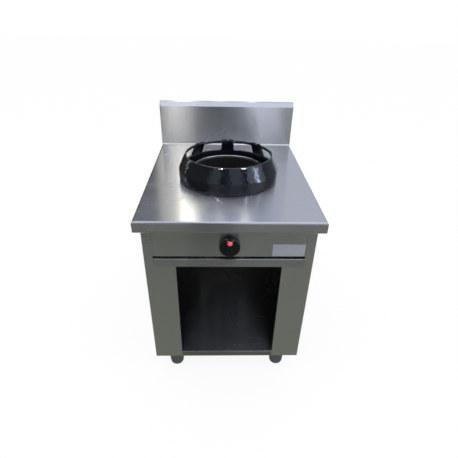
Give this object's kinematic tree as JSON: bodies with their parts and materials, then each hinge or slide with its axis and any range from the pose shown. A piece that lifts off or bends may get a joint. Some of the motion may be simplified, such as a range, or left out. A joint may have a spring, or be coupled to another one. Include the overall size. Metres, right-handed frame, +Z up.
{
  "type": "wok range",
  "caption": "Free-standing stainless gas wok range with a splashback, a cast wok ring over one burner, a front knob, a pull-out drip tray and open storage on adjustable feet.",
  "frame": {"origin": "on the floor under the middle of the range's width and depth, feet fully screwed in", "axes": "+Z up, +Y from the front of the range to the splashback, +X to the right seen from the front"},
  "size_m": [0.6, 0.8, 0.895],
  "materials": {
    "brushed_stainless": "brushed along the width",
    "dull_stainless": "mill finish, dull",
    "galvanised_sheet": "galvanised",
    "zinc_steel": "zinc plated",
    "leg_steel": "satin",
    "black_enamel": "gloss black enamel over the casting",
    "grey_iron": "as cast",
    "turned_brass": "turned",
    "copper_tube": "drawn copper",
    "black_plastic": "moulded thermoset",
    "red_plastic": "moulded, glossy",
    "foot_plastic": "moulded"
  },
  "bodies": {
    "cabinet": {"worktop": "brushed_stainless", "splashback": "brushed_stainless", "splashback_cover": "brushed_stainless", "left_side_panel": "brushed_stainless", "right_side_panel": "brushed_stainless", "bottom_shelf": "brushed_stainless", "control_panel": "brushed_stainless", "burner_well": "brushed_stainless", "back_panel": "dull_stainless", "worktop_stiffener_left": "galvanised_sheet", "worktop_stiffener_right": "galvanised_sheet", "tray_runner_left": "galvanised_sheet", "tray_runner_right": "galvanised_sheet", "burner_rail_front": "galvanised_sheet", "burner_rail_rear": "galvanised_sheet", "pilot_bracket": "galvanised_sheet", "back_panel_screws": "zinc_steel", "burner_bolts": "zinc_steel", "burner_body": "grey_iron", "injector": "turned_brass", "pipe_nuts": "turned_brass", "gas_valve": "turned_brass", "valve_nut": "turned_brass", "inlet_fitting": "turned_brass", "inlet_locknut": "turned_brass", "pilot_burner": "turned_brass", "feed_pipe": "copper_tube", "pilot_tube": "copper_tube", "thermocouple": "copper_tube", "thermocouple_lead": "copper_tube", "supply_pipe": "galvanised_sheet", "knob_bezel": "black_plastic", "leg_front_left": "leg_steel", "leg_front_right": "leg_steel", "leg_rear_left": "leg_steel", "leg_rear_right": "leg_steel"},
    "knob": {"control_knob": "black_plastic", "valve_spindle": "turned_brass", "knob_pointer": "red_plastic"},
    "tray": {"drip_tray": "brushed_stainless"},
    "ring": {"wok_ring": "black_enamel"},
    "cap": {"burner_cap": "grey_iron"},
    "shutter": {"air_shutter": "galvanised_sheet"},
    "foot_front_left": {"foot_front_left": "foot_plastic"},
    "foot_front_right": {"foot_front_right": "foot_plastic"},
    "foot_rear_left": {"foot_rear_left": "foot_plastic"},
    "foot_rear_right": {"foot_rear_right": "foot_plastic"}
  },
  "joints": [
    {"name": "knob_turn", "type": "hinge", "parent": "cabinet", "child": "knob", "pos_m": [0, -0.36, 0.607], "axis": [0, -1, 0], "range_deg": [0, 180]},
    {"name": "tray_slide", "type": "slide", "parent": "cabinet", "child": "tray", "axis": [0, -1, 0], "range_m": [0, 0.45]},
    {"name": "ring_lift", "type": "slide", "parent": "cabinet", "child": "ring", "axis": [0, 0, 1], "range_m": [0, 0.15]},
    {"name": "cap_lift", "type": "slide", "parent": "cabinet", "child": "cap", "axis": [0, 0, 1], "range_m": [0, 0.12]},
    {"name": "shutter_turn", "type": "hinge", "parent": "cabinet", "child": "shutter", "pos_m": [0, -0.229, 0.607], "axis": [0, -1, 0], "range_deg": [0, 60]},
    {"name": "foot_front_left_screw", "type": "slide", "parent": "cabinet", "child": "foot_front_left", "axis": [0, 0, -1], "range_m": [0, 0.025]},
    {"name": "foot_front_right_screw", "type": "slide", "parent": "cabinet", "child": "foot_front_right", "axis": [0, 0, -1], "range_m": [0, 0.025]},
    {"name": "foot_rear_left_screw", "type": "slide", "parent": "cabinet", "child": "foot_rear_left", "axis": [0, 0, -1], "range_m": [0, 0.025]},
    {"name": "foot_rear_right_screw", "type": "slide", "parent": "cabinet", "child": "foot_rear_right", "axis": [0, 0, -1], "range_m": [0, 0.025]}
  ]
}
